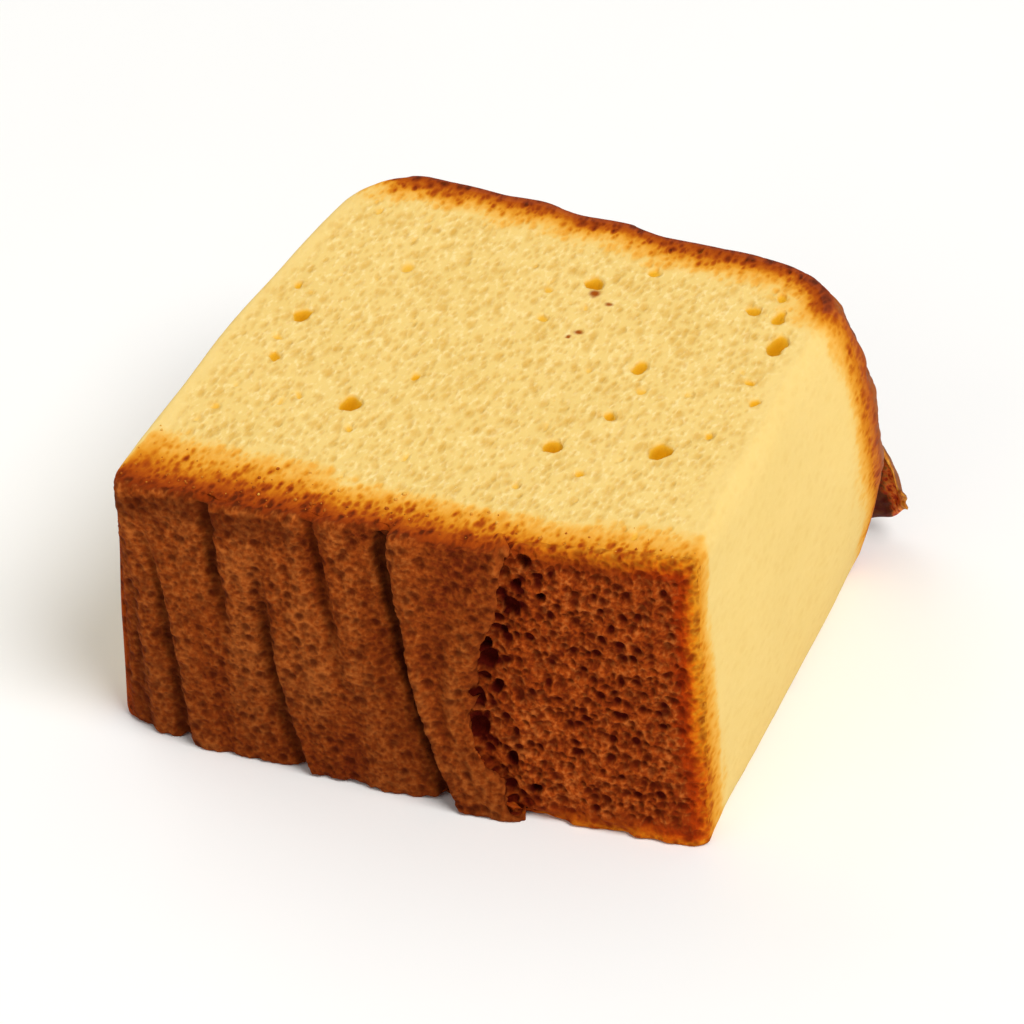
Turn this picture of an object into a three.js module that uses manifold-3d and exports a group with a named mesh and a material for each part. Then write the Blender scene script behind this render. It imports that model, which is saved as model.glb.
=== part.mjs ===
// One thick slice of castella sponge cake, lying on its cut face.
//
// Millimetres, +Z up. X runs along the brown base crust, which faces -Y. The domed top crust
// of the loaf faces +Y, and the loaf's two side walls, pale where the paper was peeled off,
// face -X and +X. The origin is at the middle of the slice's box, at the height it rests at.
//
// The slice is a box with its six faces ruled into a grid. Each point of the grid is placed by
// functions of its box coordinates: u, v and w, from -1 to 1 along X, Y and Z. Then the torn
// flap of crust is joined on, and the largest air pores are cut out.

import * as THREE from 'three';
import { mergeVertices } from 'three/addons/utils/BufferGeometryUtils.js';
import Module from 'manifold-3d';

// Driving dimensions.

const BASE_LENGTH = 70.4;        // along the base crust
const DEPTH = 65.5;              // from base crust to top crust
const THICKNESS = 36.6;          // from cut face to cut face

// The knife and the oven left every corner a little off square: how far each one of the
// upper and lower cut faces lies from the corners of a true box (x outwards, y outwards, up).
const CORNERS = {
  lowerBaseLeft: [1.2, 0.2, 0],
  lowerBaseRight: [0.3, 0.9, 0],
  lowerCrownLeft: [-1.6, 0.0, 0],
  lowerCrownRight: [-1.4, -1.4, 0],
  upperBaseLeft: [-0.8, 2.1, -1.3],
  upperBaseRight: [-1.4, -1.2, 0.7],
  upperCrownLeft: [-5.1, 1.3, 1.1],
  upperCrownRight: [-3.9, -2.3, -0.4],
};

const LEFT_SHOULDER = 8.5;       // radius where the top crust turns into the left side
const RIGHT_SHOULDER = 9.5;
const LEFT_BASE_CORNER = 3.0;    // radii of the two upright corners at the base crust
const RIGHT_BASE_CORNER = 1.8;
const CUT_ARRIS = 0.7;           // radius left by the knife
const SOFT_ARRIS = 2.0;          // at the top crust and the right side the crumb sank a little

const BASE_BOW = 1.8;            // the base crust stands out between its ends
const CROWN_DOME = 1.3;
const CROWN_BELLY = 1.6;         // the top crust stands out between the cuts
const LEFT_BOW = 1.3;            // the left side wall stands out between the crusts
const RIGHT_BULGE = 4.4;         // the right side wall bellies out below the top crust

// Creases that the baking paper pressed into the base crust: where each one is at mid-height,
// how far its foot leads its head, how much it bends, how high its lip stands, and the heights,
// as shares of the thickness, at which it has died away and at which it is whole.
const FOLDS = [
  { at: -32.1, lean: 1.6, bend: 0.2, lip: 0.3, gone: 0.75, whole: 0.5 },
  { at: -27.9, lean: 3.0, bend: -0.8, lip: 0.6, gone: 0.95, whole: 0.5 },
  { at: -20.3, lean: 2.4, bend: 0.0, lip: 0.6, gone: 0.4, whole: 0.75 },
  { at: -15.1, lean: 2.2, bend: 1.6, lip: 0.65, gone: 0.9, whole: 0.45 },
  { at: -6.7, lean: 2.2, bend: -1.2, lip: 0.45, gone: 0.3, whole: 0.7 },
  { at: 1.6, lean: 3.8, bend: 1.2, lip: 1.1, gone: -1, whole: 0 },
];
const FOLDS_END = 20;            // right of this nothing is drawn aside
const LIP_WIDTH = 0.8;
const LIP_REACH = 4.5;

// The tear, right of which the skin of the base crust came off: where it is on average, and how
// far from there its edge lies at each height, as a share of the thickness.
const TEAR_AT = 10.5;
const TEAR = [
  [0, 3.5], [0.1, 1.6], [0.22, -1.3], [0.32, -2.7], [0.42, -2.9], [0.6, -1.4], [0.8, 1.4], [1, 2.9],
];
const TEAR_WANDER = 0.4;         // the edge wanders to either side by this much
const TEAR_WAVES = 7;
const TEAR_SLOPE = 1.1;
const TORN_DEPTH = 1.1;

// The top crust's crags: swells and smaller folds, each a height, a size and a place in the
// noise that they are drawn from.
const CROWN_SWELLS = { height: 0.95, size: 14, from: [36.7, 39.4] };
const CROWN_FOLDS = { height: 0.6, size: 6.5, from: [21.6, 5.3] };
const TORN_CRUMB = { height: 0.25, size: 5.0, from: [3.1, 8.4] };
const WALL_WAVE = { height: 0.3, size: 12, from: [12.2, 30.6] };

// A flap of top crust, torn loose at the foot of the right shoulder.
const FLAP = {
  root: [29.5, 28.6],
  reach: 9.6,
  foot: [3.0, 5.6],              // height of its lower edge at the root and at the tip
  head: [15.5, 8.2],             // and of its upper edge
  closingFrom: 0.28,             // the two edges draw together from this share of its reach on
  curl: 2.6,
  sweep: 0.85 * Math.PI,         // the part of a sine wave that it bows through
  thickness: 1.5,
  thinning: 0.45,
  rows: 8,
};

// The largest pores that the upper cut opened: place on the face, width and length.
const PORES = [
  { at: [-14.3, -12.5], size: [2.8, 2.2] },
  { at: [-26.2, 2.2], size: [2.4, 2.5] },
  { at: [3.5, 18.9], size: [2.8, 2.0] },
  { at: [27.5, 13.9], size: [2.6, 2.6] },
  { at: [10.6, -13.5], size: [2.6, 1.8] },
  { at: [22.4, -10.7], size: [2.8, 2.0] },
  { at: [14.4, 4.4], size: [2.0, 1.7] },
  { at: [22.7, 19.7], size: [2.0, 1.8] },
  { at: [-26.0, -6.5], size: [1.8, 1.6] },
  { at: [-9.1, -5.3], size: [1.9, 1.5] },
];
const PORE_DEPTH = 0.9;

const GRID = { u: 44, v: 29, w: 17 };
const CRUMB_COLOUR = '#f3cf7a';

// Small helpers.

const { sin, abs, min, max, sign, floor, hypot, exp, tanh } = Math;
const clamp = (x, low, high) => min(max(x, low), high);
const mix = (a, b, t) => a + (b - a) * t;
const smooth = (low, high, x) => {
  const t = clamp((x - low) / (high - low), 0, 1);
  return t * t * (3 - 2 * t);
};

// The value at t of a line through [place, value] points, and level beyond its ends.
function follow(points, t) {
  const next = points.findIndex(([place]) => place >= t);
  if (next === 0) return points[0][1];
  if (next < 0) return points[points.length - 1][1];
  const [[from, start], [to, end]] = [points[next - 1], points[next]];
  return mix(start, end, (t - from) / (to - from));
}

// Value noise from -1 to 1: a number drawn for each corner of a unit lattice by a fixed
// formula, smoothly mixed in between.
const drawn = (i, j) => {
  const x = sin(i * 127.1 + j * 311.7) * 43758.5453;
  return x - floor(x);
};
function noise(a, b) {
  const i = floor(a);
  const j = floor(b);
  const s = smooth(0, 1, a - i);
  const t = smooth(0, 1, b - j);
  const near = mix(drawn(i, j), drawn(i + 1, j), s);
  const far = mix(drawn(i, j + 1), drawn(i + 1, j + 1), s);
  return 2 * mix(near, far, t) - 1;
}
const crags = (a, b, { height, size, from }) => height * noise(a / size + from[0], b / size + from[1]);

// The slice before its relief.

const HALF = { x: BASE_LENGTH / 2, y: DEPTH / 2, z: THICKNESS / 2 };

// The first and last row of the grid lie a knife-edge's width from the arris, the rest evenly.
function spread(t, segments, half) {
  const lastRow = 1 - 2 / segments;
  if (abs(t) > lastRow + 1e-6) return sign(t);
  return (t / lastRow) * (1 - CUT_ARRIS / half);
}

// Rounds the arris of a cut face: the rings of the grid that lie beside it draw inwards, and
// those below it rise or sink, until they lie on an arc.
function arris(u, v, w) {
  const inset = min((1 - abs(u)) * HALF.x, (1 - abs(v)) * HALF.y);
  const drop = (1 - abs(w)) * HALF.z;
  const soft = max(smooth(0.3, 1, v), smooth(0.9, 1, u) * smooth(-1, -0.7, v));
  const radius = mix(CUT_ARRIS, SOFT_ARRIS, soft);
  if (inset >= radius || drop >= radius) return [u, v, w];
  const a = radius - inset;
  const b = radius - drop;
  const shrink = max(a, b) / hypot(a, b);
  const pulled = radius - a * shrink - inset;
  const sunk = radius - b * shrink - drop;
  const narrowX = 1 - pulled / (HALF.x - inset);
  const narrowY = 1 - pulled / (HALF.y - inset);
  return [u * narrowX, v * narrowY, w - (sign(w) * sunk) / HALF.z];
}

// Rounds the four upright corners: square rings round a corner's centre become arcs.
function roundedPlan(u, v) {
  const shoulder = u < 0 ? LEFT_SHOULDER : RIGHT_SHOULDER;
  const baseCorner = u < 0 ? LEFT_BASE_CORNER : RIGHT_BASE_CORNER;
  const radius = v > 0 ? shoulder : baseCorner;
  const cornerX = HALF.x - radius;
  const cornerY = HALF.y - radius;
  const dx = abs(u) * HALF.x - cornerX;
  const dy = abs(v) * HALF.y - cornerY;
  if (dx <= 0 || dy <= 0) return [u, v];
  const shrink = max(dx, dy) / hypot(dx, dy);
  const newU = (sign(u) * (cornerX + dx * shrink)) / HALF.x;
  const newV = (sign(v) * (cornerY + dy * shrink)) / HALF.y;
  return [newU, newV];
}

// The offsets of the eight corners, mixed by how near a point is to each.
function cornerOffset(u, v, up) {
  const across = (u + 1) / 2;
  const toCrown = (v + 1) / 2;
  const offset = (axis) => {
    const row = (level, end) => {
      const left = CORNERS[`${level}${end}Left`][axis];
      const right = CORNERS[`${level}${end}Right`][axis];
      return mix(left, right, across);
    };
    const lower = mix(row('lower', 'Base'), row('lower', 'Crown'), toCrown);
    const upper = mix(row('upper', 'Base'), row('upper', 'Crown'), toCrown);
    return mix(lower, upper, up);
  };
  return [u * offset(0), v * offset(1), up * offset(2)];
}

function block(u, v, up) {
  const [outX, outY, rise] = cornerOffset(u, v, up);
  return new THREE.Vector3(u * HALF.x + outX, v * HALF.y + outY, up * THICKNESS + rise);
}

// Relief of each face, in millimetres along its outward direction.

// How far the paper's pull carries a crease or the tear sideways at this height: they and the
// grid between them move together, so every lip keeps one column of the grid.
function foldDrift(x, up) {
  const t = 1 - 2 * up;
  const creases = FOLDS.map(({ at, lean, bend }) => [at, lean * t + bend * t * t]);
  return follow([[-HALF.x, 0], ...creases, [TEAR_AT, follow(TEAR, up)], [FOLDS_END, 0]], x);
}

function baseRelief(x, up) {
  let relief = BASE_BOW * (1 - (x / HALF.x) ** 2);
  for (const fold of FOLDS) {
    const offset = x - fold.at;
    const lip = fold.lip * smooth(fold.gone, fold.whole, up);
    relief += lip * tanh(offset / LIP_WIDTH) * exp(-abs(offset) / LIP_REACH);
  }
  const edge = TEAR_AT + TEAR_WANDER * noise(up * TEAR_WAVES, 0);
  const torn = smooth(-TEAR_SLOPE, TEAR_SLOPE, x - edge);
  return relief - torn * (TORN_DEPTH + crags(x, up * THICKNESS, TORN_CRUMB));
}

// The crags run on round the shoulders: there the way along the crust bends into the sides.
function crownRelief(x, y, up) {
  const height = up * THICKNESS;
  const along = x * (1 + (HALF.y - y) / HALF.x);
  const dome = CROWN_DOME * (1 - (x / HALF.x) ** 2);
  const belly = CROWN_BELLY * 4 * up * (1 - up);
  return dome + belly + crags(along, height, CROWN_SWELLS) + crags(along, height, CROWN_FOLDS);
}

function sideRelief(u, y, up) {
  const toCrown = (y / HALF.y + 1) / 2;
  const leftBow = LEFT_BOW * (1 - (y / HALF.y) ** 2);
  const rightBulge = RIGHT_BULGE * 4 * up * (1 - up) * toCrown;
  return (u < 0 ? leftBow : rightBulge) + crags(y, up * THICKNESS, WALL_WAVE);
}

function sponge(u, v, w) {
  const up = (w + 1) / 2;
  const [planU, planV] = roundedPlan(u, v);
  const place = block(planU, planV, up);
  const atBase = smooth(-0.86, -1, planV);
  const atCrown = smooth(0.55, 1, planV);
  const x = planU * HALF.x;
  const y = planV * HALF.y;
  place.x += foldDrift(x, up) * atBase;
  place.y -= baseRelief(x, up) * atBase;
  place.y += crownRelief(x, y, up) * atCrown;
  place.x += sign(u) * sideRelief(u, y, up) * abs(planU) ** 3;
  return place;
}

function spongeGeometry() {
  const box = new THREE.BoxGeometry(2, 2, 2, GRID.u, GRID.v, GRID.w);
  const points = box.attributes.position;
  for (let i = 0; i < points.count; i += 1) {
    const u = spread(points.getX(i), GRID.u, HALF.x);
    const v = spread(points.getY(i), GRID.v, HALF.y);
    const w = spread(points.getZ(i), GRID.w, HALF.z);
    const place = sponge(...arris(u, v, w));
    points.setXYZ(i, place.x, place.y, w === -1 ? 0 : place.z);
  }
  return box;
}

// The torn flap: a small slab, ruled the same way, whose free end narrows and curls forward.
function flapGeometry() {
  const slab = new THREE.BoxGeometry(1, 1, 1, FLAP.rows, 1, FLAP.rows);
  const points = slab.attributes.position;
  for (let i = 0; i < points.count; i += 1) {
    const out = points.getX(i) + 0.5;
    const across = points.getY(i);
    const up = points.getZ(i) + 0.5;
    const closing = smooth(FLAP.closingFrom, 1, out);
    const foot = mix(...FLAP.foot, closing);
    const head = mix(...FLAP.head, closing);
    const bow = FLAP.curl * sin(out * FLAP.sweep);
    const thickness = FLAP.thickness * (1 - FLAP.thinning * out);
    points.setXYZ(
      i,
      FLAP.root[0] + FLAP.reach * out,
      FLAP.root[1] + bow + thickness * across,
      mix(foot, head, up),
    );
  }
  return slab;
}

function poreGeometry({ at: [x, y], size: [width, length] }) {
  const pore = new THREE.SphereGeometry(1, 9, 6);
  pore.scale(width / 2, length / 2, PORE_DEPTH);
  const { z } = block(x / HALF.x, y / HALF.y, 1);
  pore.translate(x, y, z + 0.2 * PORE_DEPTH);
  return pore;
}

// Solids.

const wasm = await Module();
wasm.setup();

function toSolid(geometry) {
  const bare = geometry.clone();
  bare.deleteAttribute('normal');
  bare.deleteAttribute('uv');
  const merged = mergeVertices(bare, 1e-4);
  return new wasm.Manifold(new wasm.Mesh({
    numProp: 3,
    vertProperties: merged.attributes.position.array,
    triVerts: new Uint32Array(merged.index.array),
  }));
}

function toGeometry(solid) {
  const mesh = solid.getMesh();
  const geometry = new THREE.BufferGeometry();
  geometry.setAttribute('position', new THREE.BufferAttribute(mesh.vertProperties, 3));
  geometry.setIndex(new THREE.BufferAttribute(mesh.triVerts, 1));
  return geometry;
}

let solid = toSolid(spongeGeometry()).add(toSolid(flapGeometry()));
for (const pore of PORES) {
  solid = solid.subtract(toSolid(poreGeometry(pore)));
}
const slice = toGeometry(solid);

// The origin goes to the middle of the box, on the face that the slice lies on.
slice.computeBoundingBox();
const middle = slice.boundingBox.getCenter(new THREE.Vector3());
slice.translate(-middle.x, -middle.y, -slice.boundingBox.min.z);
slice.computeVertexNormals();

const crumb = new THREE.MeshStandardMaterial({ color: CRUMB_COLOUR, roughness: 0.9, metalness: 0 });
const castella = new THREE.Mesh(slice, crumb);
castella.name = 'castella_slice';

const group = new THREE.Group();
group.add(castella);

export default group;
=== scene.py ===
"""A thick slice of castella sponge cake, lying on its cut face.

The slice is worked out in millimetres about its own middle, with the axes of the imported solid:
X runs along the brown base crust, which faces -Y, the domed top crust faces +Y, and +Z is up.
Its surfaces are functions on the faces of a box, whose coordinates u, v and w run from -1 to 1
along X, Y and Z, and PLACE carries it to where the solid lies.
"""

import itertools
import math

import bpy
import numpy as np
from mathutils import Matrix, Vector


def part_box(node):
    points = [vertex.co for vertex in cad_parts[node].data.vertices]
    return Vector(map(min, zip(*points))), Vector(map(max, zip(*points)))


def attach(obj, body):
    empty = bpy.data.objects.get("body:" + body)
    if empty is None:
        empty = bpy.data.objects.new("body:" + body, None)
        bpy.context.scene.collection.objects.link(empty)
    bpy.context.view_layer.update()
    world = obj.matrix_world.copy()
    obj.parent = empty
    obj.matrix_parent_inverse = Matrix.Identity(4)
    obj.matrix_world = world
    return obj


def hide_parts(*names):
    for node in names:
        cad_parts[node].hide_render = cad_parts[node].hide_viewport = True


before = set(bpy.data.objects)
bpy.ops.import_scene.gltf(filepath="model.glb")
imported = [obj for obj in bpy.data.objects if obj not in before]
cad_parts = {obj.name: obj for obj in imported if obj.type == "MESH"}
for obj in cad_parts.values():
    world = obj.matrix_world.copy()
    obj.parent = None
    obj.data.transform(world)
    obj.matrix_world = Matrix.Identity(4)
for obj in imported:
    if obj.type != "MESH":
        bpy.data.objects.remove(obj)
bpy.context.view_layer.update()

# ------------------------------------------------------------------------------------------
# The crumb: one block of baked egg foam, cut above and below by a knife, with the loaf's two
# side walls, pale and smooth where the baking paper was peeled off them. It browns towards
# the crusts, and the knife opened round air bubbles of every size.
# ------------------------------------------------------------------------------------------

MM = 0.001                          # a millimetre, in metres
FLAP_OVERHANG = 5.418               # how far the torn flap reaches past the slice's side
BOWS = 6.185                        # how far the base crust and the top crust bow out together
HIGH_CORNER = 0.868                 # how far the upper cut's highest corner lies above the rest
node_low, node_high = (np.array(corner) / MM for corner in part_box("castella_slice"))
LENGTH, DEPTH, THICKNESS = node_high - node_low - (FLAP_OVERHANG, BOWS, HIGH_CORNER)
HALF_X, HALF_Y, HALF_Z = LENGTH / 2, DEPTH / 2, THICKNESS / 2

# How far each corner lies from the true box's: x outwards, y outwards, up.
CORNERS = {
    ("lower", "base", "left"): (1.2, 0.2, 0.0),
    ("lower", "base", "right"): (0.3, 0.9, 0.0),
    ("lower", "crown", "left"): (-1.6, 0.0, 0.0),
    ("lower", "crown", "right"): (-1.4, -1.4, 0.0),
    ("upper", "base", "left"): (-0.8, 2.1, -1.3),
    ("upper", "base", "right"): (-1.4, -1.2, 0.7),
    ("upper", "crown", "left"): (-5.1, 1.3, 1.1),
    ("upper", "crown", "right"): (-3.9, -2.3, -0.4),
}
SHOULDERS = (8.5, 9.5)              # left and right radius, where the top crust turns down
BASE_CORNERS = (3.0, 1.8)           # left and right radius at the base crust
CUT_ARRIS = 0.7                     # radius left by the knife
SOFT_ARRIS = 2.0                    # at the top crust and the right side the crumb sank a little
BASE_BOW = 1.8                      # how far the base crust bows out in the middle
CROWN_DOME = 1.3                    # and the top crust along its length
CROWN_BELLY = 1.6                   # and across it, from cut to cut
LEFT_BOW = 1.3                      # and the left wall
RIGHT_BULGE = 4.4                   # and the right wall, by the top crust
# Creases: place at mid-height, lean, bend, height of the lip, and the heights, as shares of the
# thickness, at which the crease has died away and at which it is whole.
FOLDS = (
    (-32.1, 1.6, 0.2, 0.3, 0.75, 0.5),
    (-27.9, 3.0, -0.8, 0.6, 0.95, 0.5),
    (-20.3, 2.4, 0.0, 0.6, 0.4, 0.75),
    (-15.1, 2.2, 1.6, 0.65, 0.9, 0.45),
    (-6.7, 2.2, -1.2, 0.45, 0.3, 0.7),
    (1.6, 3.8, 1.2, 1.1, -1, 0),
)
FOLDS_END = 20.0                    # right of this nothing is drawn aside
LIP_WIDTH = 0.5                     # how far it takes a crease to step out
LIP_REACH = 4.5                     # and to die away again on both sides
# Where the skin's torn edge is on average, and how far from there it lies at each height.
TEAR_AT = 10.5
TEAR_HEIGHTS = (0.0, 0.1, 0.22, 0.32, 0.42, 0.6, 0.8, 1.0)
TEAR_DRIFTS = (3.5, 1.6, -1.3, -2.7, -2.9, -1.4, 1.4, 2.9)
TEAR_WANDER = (0.4, 7.0)            # how far the edge wanders, and how often from cut to cut
TEAR_TEETH = (0.8, 1.4, 24.0)       # its teeth: height, size along X, count from cut to cut
TEAR_SLOPE = 0.8                    # the skin thins out over this on either side of the edge
TORN_DEPTH = 1.1                    # how far the bared crumb lies below the skin
BASE_ZONE = (-0.86, -1)             # v where the base crust's relief begins, and where it is whole
CROWN_ZONE = (0.55, 1)              # and the same for the top crust's
# Waves of the top crust, the bared crumb and the side walls: height, size, place in the noise.
CROWN_SWELLS = (0.95, 14.0, (36.7, 39.4))
CROWN_FOLDS = (0.6, 6.5, (21.6, 5.3))
TORN_CRUMB = (0.25, 5.0, (3.1, 8.4))
WALL_WAVE = (0.3, 12.0, (12.2, 30.6))


def mixed(a, b, t):
    """a where t is 0, b where it is 1, and in proportion in between."""
    return a + (b - a) * t


def smooth(low, high, x):
    """0 below low, 1 above high, and t*t*(3 - 2t) in between."""
    t = np.clip((x - low) / (high - low), 0, 1)
    return t * t * (3 - 2 * t)


def drawn(i, j, k=0.0):
    """A fixed number from 0 to 1 for each place of a lattice: the fraction of a large sine."""
    x = np.sin(i * 127.1 + j * 311.7 + k * 74.7) * 43758.5453
    return x - np.floor(x)


def noise(a, b):
    """Value noise from -1 to 1 on a plane: the drawn numbers, smoothly mixed in each square."""
    i, j = np.floor(a), np.floor(b)
    s, t = smooth(0, 1, a - i), smooth(0, 1, b - j)
    near = mixed(drawn(i, j), drawn(i + 1, j), s)
    far = mixed(drawn(i, j + 1), drawn(i + 1, j + 1), s)
    return 2 * mixed(near, far, t) - 1


def noise_in(points, size, seed):
    """Value noise from -1 to 1 in space, on cubes of the given size in millimetres."""
    place = points / size + seed * 17.3
    cube = np.floor(place)
    weight = smooth(0, 1, place - cube)
    total = 0
    for step in itertools.product((0, 1), repeat=3):
        share = np.where(step, weight, 1 - weight).prod(-1)
        total = total + share * drawn(*np.moveaxis(cube + step, -1, 0))
    return 2 * total - 1


def rough(points, *layers):
    """Value noise in space, in layers that are each given as height, size and seed."""
    return sum(height * noise_in(points, size, seed) for height, size, seed in layers)


def crags(a, b, relief):
    """Value noise on a plane in millimetres."""
    height, size, (from_a, from_b) = relief
    return height * noise(a / size + from_a, b / size + from_b)


def arris(u, v, w):
    """Rounds the arris of a cut face: the rings of the grid beside it draw inwards, and those
    below it sink, until they lie on an arc of the arris's radius."""
    inset = np.minimum((1 - np.abs(u)) * HALF_X, (1 - np.abs(v)) * HALF_Y)
    drop = (1 - np.abs(w)) * HALF_Z
    soft = np.maximum(smooth(0.3, 1, v), smooth(0.9, 1, u) * smooth(-1, -0.7, v))
    radius = mixed(CUT_ARRIS, SOFT_ARRIS, soft)
    a, b = radius - inset, radius - drop
    near = (a > 0) & (b > 0)
    shrink = np.where(near, np.maximum(a, b) / np.maximum(np.hypot(a, b), 1e-9), 1)
    pulled, sunk = np.where(near, a * (1 - shrink), 0), np.where(near, b * (1 - shrink), 0)
    ring_x, ring_y = (half - np.minimum(inset, radius) for half in (HALF_X, HALF_Y))
    return u * (1 - pulled / ring_x), v * (1 - pulled / ring_y), w - np.sign(w) * sunk / HALF_Z


def rounded_plan(u, v):
    """Rounds the upright corners: square rings round a corner's centre become arcs."""
    radius = np.where(v > 0, np.where(u < 0, *SHOULDERS), np.where(u < 0, *BASE_CORNERS))
    corner_x, corner_y = HALF_X - radius, HALF_Y - radius
    dx, dy = np.abs(u) * HALF_X - corner_x, np.abs(v) * HALF_Y - corner_y
    near = (dx > 0) & (dy > 0)
    shrink = np.maximum(dx, dy) / np.maximum(np.hypot(dx, dy), 1e-9)
    plan_u = np.where(near, np.sign(u) * (corner_x + dx * shrink) / HALF_X, u)
    plan_v = np.where(near, np.sign(v) * (corner_y + dy * shrink) / HALF_Y, v)
    return plan_u, plan_v


def block(u, v, up):
    """The true box, with the offsets of its eight corners mixed by nearness."""
    near = {"left": (1 - u) / 2, "right": (1 + u) / 2, "base": (1 - v) / 2, "crown": (1 + v) / 2,
            "lower": 1 - up, "upper": up}
    offset = sum((near[level] * near[end] * near[side])[..., None] * np.array(corner)
                 for (level, end, side), corner in CORNERS.items())
    true_box = np.stack([u * HALF_X, v * HALF_Y, up * THICKNESS], -1)
    return true_box + offset * np.stack([u, v, up], -1)


def fold_drift(x, up):
    """How far the creases and the tear are carried sideways at a height: lean and bend at each
    crease, straight lines in between, and nothing at the left corner and right of them all."""
    t = 1 - 2 * up
    drifts = [lean * t + bend * t * t for _, lean, bend, *_ in FOLDS]
    drifts.append(np.interp(up, TEAR_HEIGHTS, TEAR_DRIFTS))
    stops = [-HALF_X, *(fold[0] for fold in FOLDS), TEAR_AT, FOLDS_END]
    return sum(np.interp(x, stops[index:index + 3], (0, 1, 0)) * drift
               for index, drift in enumerate(drifts))


def past_tear(x, up):
    """How far right of the tear's edge, with its teeth, a place on the base lies."""
    wander, waves = TEAR_WANDER
    height, size, count = TEAR_TEETH
    return x + height * noise(x / size, up * count) - (TEAR_AT + wander * noise(up * waves, 0))


def torn(x, up):
    """1 where the skin of the base crust came off, 0 where it is whole, and a step between."""
    return smooth(-TEAR_SLOPE, TEAR_SLOPE, past_tear(x, up))


def lip_at(fold, up):
    """The height of a fold's lip at a height of the base crust."""
    lip, gone, whole = fold[3:]
    return lip * smooth(gone, whole, up)


def base_relief(x, up):
    """Bow, then at each fold a step outwards that dies away to both sides, less the tear."""
    relief = BASE_BOW * (1 - (x / HALF_X) ** 2)
    for fold in FOLDS:
        gap = x - fold[0]
        step = np.tanh(gap / LIP_WIDTH) * np.exp(-np.abs(gap) / LIP_REACH)
        relief = relief + lip_at(fold, up) * step
    return relief - torn(x, up) * (TORN_DEPTH + crags(x, up * THICKNESS, TORN_CRUMB))


def crown_relief(x, y, up):
    """Dome along the crust, belly across it, and crags that run on round the shoulders."""
    height = up * THICKNESS
    along = x * (1 + (HALF_Y - y) / HALF_X)
    dome = CROWN_DOME * (1 - (x / HALF_X) ** 2)
    belly = CROWN_BELLY * 4 * up * (1 - up)
    return dome + belly + crags(along, height, CROWN_SWELLS) + crags(along, height, CROWN_FOLDS)


def side_relief(u, y, up):
    """The left wall's bow, the right one's bulge, which grows towards the top, and waves."""
    left = LEFT_BOW * (1 - (y / HALF_Y) ** 2)
    right = RIGHT_BULGE * 4 * up * (1 - up) * (y / HALF_Y + 1) / 2
    return np.where(u < 0, left, right) + crags(y, up * THICKNESS, WALL_WAVE)


def sponge(u, v, w):
    """The slice's own surface, in millimetres, for box coordinates on the box's faces."""
    u, v, w = arris(u, v, w)
    up = (w + 1) / 2
    plan_u, plan_v = rounded_plan(u, v)
    x, y = plan_u * HALF_X, plan_v * HALF_Y
    at_base, at_crown = smooth(*BASE_ZONE, plan_v), smooth(*CROWN_ZONE, plan_v)
    place = block(plan_u, plan_v, up)
    place[..., 0] += fold_drift(x, up) * at_base
    place[..., 0] += np.sign(u) * side_relief(u, y, up) * np.abs(plan_u) ** 3
    place[..., 1] += crown_relief(x, y, up) * at_crown - base_relief(x, up) * at_base
    return place


COARSE = 3                          # cells along the side of a low end's polygon


def lattice(*cells):
    """The surface of a block of cells: the whole-number places of its points, each once, its
    squares, and the polygons of its low end, all wound to face outwards. The low end is a hidden
    or a plain side, so a polygon there covers three cells by three, and at the rim it also takes
    in the points of the squares that it meets."""
    squares = []
    for axis, end in ((0, 0), (0, cells[0]), (1, 0), (1, cells[1]), (2, cells[2])):
        across, on = (axis + 1) % 3, (axis + 2) % 3
        start = np.stack(np.meshgrid(np.arange(cells[across]), np.arange(cells[on])), -1)
        square = np.full((start.size // 2, 4, 3), end)
        square[..., [across, on]] = start.reshape(-1, 1, 2) + [(0, 0), (1, 0), (1, 1), (0, 1)]
        squares.append(square if end else square[:, ::-1])
    side = range(COARSE)
    outline = [(0, k) for k in side] + [(k, COARSE) for k in side]
    outline += [(COARSE, COARSE - k) for k in side] + [(COARSE - k, 0) for k in side]
    starts = np.stack(np.meshgrid(*(np.arange(0, count, COARSE) for count in cells[:2])), -1)
    loops = starts.reshape(-1, 1, 2) + outline
    kept = (loops % COARSE == 0).all(-1) | ((loops == 0) | (loops == cells[:2])).any(-1)
    shape = np.array(cells) + 1
    square_keys = np.ravel_multi_index(np.concatenate(squares).reshape(-1, 3).T, shape)
    loop_keys = np.ravel_multi_index((*loops[kept].T, 0 * loops[kept][:, 0]), shape)
    places, corners = np.unique(np.concatenate([square_keys, loop_keys]), return_inverse=True)
    points = np.stack(np.unravel_index(places, shape))
    polygons = np.split(corners[len(square_keys):], np.cumsum(kept.sum(1))[:-1])
    return points, corners[:len(square_keys)].reshape(-1, 4), polygons


def outward(points, squares):
    """Unit normals at the points: the sum of the normals of the squares round each. A point of
    the low end, which has none, faces down."""
    a, b, c, d = (points[squares[:, corner]] for corner in range(4))
    facing = np.cross(c - a, d - b)
    total = np.stack([np.bincount(squares.ravel(), np.repeat(facing[:, axis], 4), len(points))
                      for axis in range(3)], -1) - (0, 0, 1e-9)
    return total / np.linalg.norm(total, axis=-1, keepdims=True)


def scattered(points, size, seed):
    """Places drawn in space, one in each cube of the given size. For the cube that each point is
    in and for each of those round it, in turn: the cube's numbers, and the way from its place to
    the point."""
    cube = np.floor(points / size)
    for step in itertools.product((-1, 0, 1), repeat=3):
        i, j, k = np.moveaxis(cube + step, -1, 0)
        centre = np.stack([drawn(i + seed, j, k + 5.3 * axis) for axis in range(3)], -1)
        yield (i, j, k), points - (cube + step + centre) * size


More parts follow.
